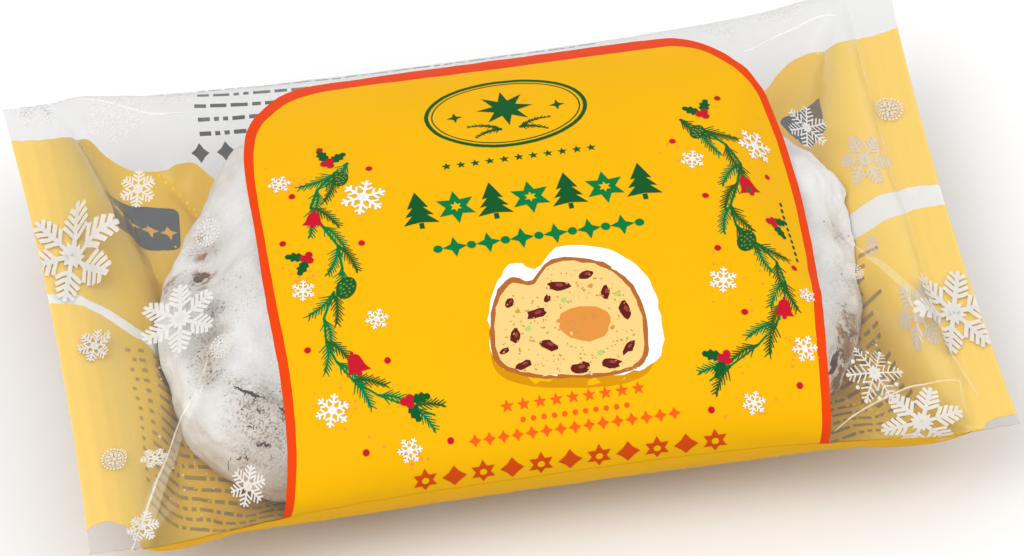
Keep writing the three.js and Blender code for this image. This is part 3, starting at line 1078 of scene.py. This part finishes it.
# Painted light and shade along the pack: the backing is paler towards both fins and darker just inside the
# left fin, where shadow falls.
parts = node("SeparateXYZ", {0: node("TexCoord").outputs["Object"]})
lengthwise = node("MapRange", {"Value": parts.outputs["X"], "From Min": -85 * MM, "From Max": 85 * MM})
tones = ramp(lengthwise.outputs[0], (0.02, (0.95, 0.63, 0.085)), (0.07, (0.74, 0.49, 0.05)),
             (0.095, (0.76, 0.48, 0.02)), (0.135, (0.92, 0.56, 0.0)), (0.83, (0.93, 0.56, 0.0)),
             (0.92, (0.95, 0.63, 0.07)))
links.new(tones, shader.inputs["Base Color"])
printed("print_backing", back_fields, backing_ink_and_painted_light, 0.07)
plate = rounded_outline([(-74.5, -149.5, 1), (-57, -149.0, 1.2), (-59.5, -139.3, 1.5), (-63, -138.6, 3),
                         (-75, -137.2, 1)])
patch = rounded_outline([(62.5, -150.5, 1), (73, -149, 1), (74, -137.5, 1), (70, -136.5, 1)])
slate_ink = ink("slate_ink", (0.075, 0.09, 0.1))
printed("back_plate", [plate, patch], slate_ink, 0.045)
printed("back_plate_outside", [plate, patch], slate_ink, 0.17)
plate_stars = [star(-72.6 + 3.9 * k, -144.3 + 0.35 * k, 1.9, 4, 0.42) for k in range(4)]
printed("plate_stars", plate_stars, ink("plate_yellow", (0.85, 0.5, 0.03)), 0.03)
# On the back near the right end the flakes seen from inside get a darker grey-tan, painted shade for the
# steep slope they lie on; the outside copy is white ink.
grey_flakes = (snowflake(77.6, -126.5, 5.6, 12, 0.1, fern, 0.34, 2.5)
               + snowflake(78.4, -87, 5, 5, 0.1, fern, 0.34, 3.4)
               + snowflake(75.6, -106.5, 1.8, 0, 0.13, small, 0.4, 2.8))
printed("back_flakes_inside", grey_flakes, ink("flake_painted_shade", (0.8, 0.66, 0.47)), 0.03, 1.0)
outside_flakes = grey_flakes + snowflake(-60, -95, 16, 10)
outside_flakes += snowflake(20, -140, 15, 25) + snowflake(-20, -80, 12, 0)
printed("back_flakes", outside_flakes, white_ink, 0.18, 1.6)


def dash(x, y, long, tall):
    return [(x, y), (x + long, y), (x + long, y + tall), (x, y + tall)]


rng = np.random.default_rng(3)
fine_rows, bold_marks = [], []
for y in np.arange(-106, -69, 2.35):
    x = -77.9 + rng.uniform(0, 0.6)
    while x < 71.5 + rng.uniform(0, 2):
        long = rng.choice([1.0, 1.4, 2.2, 3.1, 4.2]) + (5 if x < -72 else 0)
        fine_rows.append(dash(x, y, long, 0.85))
        x += long + 0.75
printed("fine_rows", fine_rows, ink("fine_print", (0.47, 0.31, 0.06), 0.15), 0.03, 2.0)
for y in (-164.5, -167.2, -169.9, -172.6, -175.3):
    x = -50.0 + rng.uniform(0, 1)
    while x < 26:
        long = rng.choice([1.0, 1.6, 2.4, 3.2])
        bold_marks.append(dash(x, y, long, 0.8))
        x += long + 0.8
bold_marks += [star(-49.5 + 5.2 * k, -160.6, 1.9, 4, 0.6) for k in range(4)]
printed("far_marks", bold_marks, ink("dark_print", (0.07, 0.07, 0.065)), 0.1, 2.0)


# ---- The highlights on the creases in the film: pale, partly see-through strips laid along the folds, from the ends of the loaf to the corners, as painted highlights.
left_crease = [(-61.5, -19.5), (-63, -22), (-67, -29), (-71.5, -37), (-76.5, -48), (-81, -56.5)]
sharp_highlight_strips = [
    strip(curve(left_crease, 40), 0.2, 0.4),
    strip(curve([(52, -53.6), (55, -51.6), (58.6, -50)], 14), 0.12, 0.36),
    strip(curve([(58.6, -50), (67, -47.2), (72.4, -46.4), (79.2, -44.7)], 30), 0.36, 0.15),
    strip(curve([(53, 34), (62, 38), (76, 45.5)], 30), 0.5, 0.25),
    strip(curve([(-52, 37), (-62, 40), (-75, 50)], 30), 0.4, 0.2)]
# A pale colour with part alpha: painted highlights along the folds.
highlight_strip_paint = {"Base Color": (0.8, 0.77, 0.7, 1), "Roughness": 0.25}
printed("film_fold_highlights", sharp_highlight_strips, new_material("painted_fold_highlight", {**highlight_strip_paint, "Alpha": 0.42}), 0.09, 1.0)
wide_highlight_strips = [
    strip(curve([(66.6, -10), (69, -13.3), (71.8, -16.6)], 16), 0.2, 1.5),
    strip(curve([(71.8, -16.6), (75.8, -24.6), (78.8, -32.4), (81, -40), (82.6, -48)], 40), 1.5, 0.3),
    strip(curve([(79.6, 46), (79.2, 10), (79.6, -20), (79.4, -52)], 60), 0.5, 0.35),
    strip(curve([(-63, -24), (-69, -34), (-74, -44), (-78, -52)], 40), 1.6, 3.0)]
printed("soft_fold_highlights", wide_highlight_strips, new_material("painted_soft_fold_highlight", {**highlight_strip_paint, "Alpha": 0.16}), 0.06, 1.0)


# ---- The back seam: the two long edges of the film, sealed together and folded flat along the back. It is
# several layers of clear film, so it is milky.
sealed_film = new_material("sealed_film")
nodes.remove(shader)
through = node("BsdfTransparent")
milky = node("BsdfDiffuse", {"Color": (0.92, 0.9, 0.87, 1)})
layers = node("MixShader", {"Fac": 0.6, 1: through.outputs[0], 2: milky.outputs[0]})
links.new(layers.outputs[0], nodes["Material Output"].inputs["Surface"])
bare_strip = seam_near_edge + [(-half_film, -122)] + seam_far_edge[::-1]
printed("seam_strip", [bare_strip], ink("seam_white", (0.93, 0.91, 0.87), 0.15), 0.09)
folded_seam = [(-half_film, -121), (half_film, -121), (half_film, -106), (-half_film, -106)]
printed("back_seam", [folded_seam], sealed_film, 0.24, 2.0)


# ---- The stage: a plain pale floor, a white studio with a key and a fill light, and the camera, which looks
# down on the printed front from the near side.
bpy.ops.mesh.primitive_plane_add(size=6, location=(0, 0, -0.05 * MM))
floor = bpy.context.object
floor.name = "floor"
pale = {"Base Color": (0.69, 0.69, 0.69, 1), "Roughness": 0.9, "Specular IOR Level": 0.1}
floor.data.materials.append(new_material("floor", pale))
world = bpy.data.worlds.new("studio")
bpy.context.scene.world = world
world.use_nodes = True
world.node_tree.nodes["Background"].inputs["Color"].default_value = (1, 1, 1, 1)
world.node_tree.nodes["Background"].inputs["Strength"].default_value = 1.12
for name, place, size, power in (("key", (-0.5, -0.35, 0.95), 0.7, 5.5),
                                 ("fill", (0.8, -0.4, 0.8), 0.8, 3.2)):
    lamp = bpy.data.lights.new(name, "AREA")
    lamp.size = size
    lamp.energy = power
    lamp_object = bpy.data.objects.new(name, lamp)
    bpy.context.scene.collection.objects.link(lamp_object)
    lamp_object.location = place
    lamp_object.rotation_euler = (Vector((0, 0, 0.02)) - Vector(place)).to_track_quat("-Z", "Y").to_euler()
azimuth, elevation = math.radians(-10.5), math.radians(47.72)
distance, pixels_per_mm, image_width = 1.472, 5.4346, 1024
aim = Vector((1.41 * MM, -1.86 * MM, 20 * MM))
level_part = math.cos(elevation)
towards = Vector((math.sin(azimuth) * level_part, -math.cos(azimuth) * level_part, math.sin(elevation)))
camera_data = bpy.data.cameras.new("camera")
camera_data.sensor_width = 36
camera_data.lens = pixels_per_mm * distance / MM / image_width * 36
camera = bpy.data.objects.new("camera", camera_data)
bpy.context.scene.collection.objects.link(camera)
camera.location = aim + towards * distance
camera.rotation_euler = (-towards).to_track_quat("-Z", "Y").to_euler()
bpy.context.scene.camera = camera
bpy.context.scene.view_settings.view_transform = "Standard"
bpy.context.scene.view_settings.look = "None"
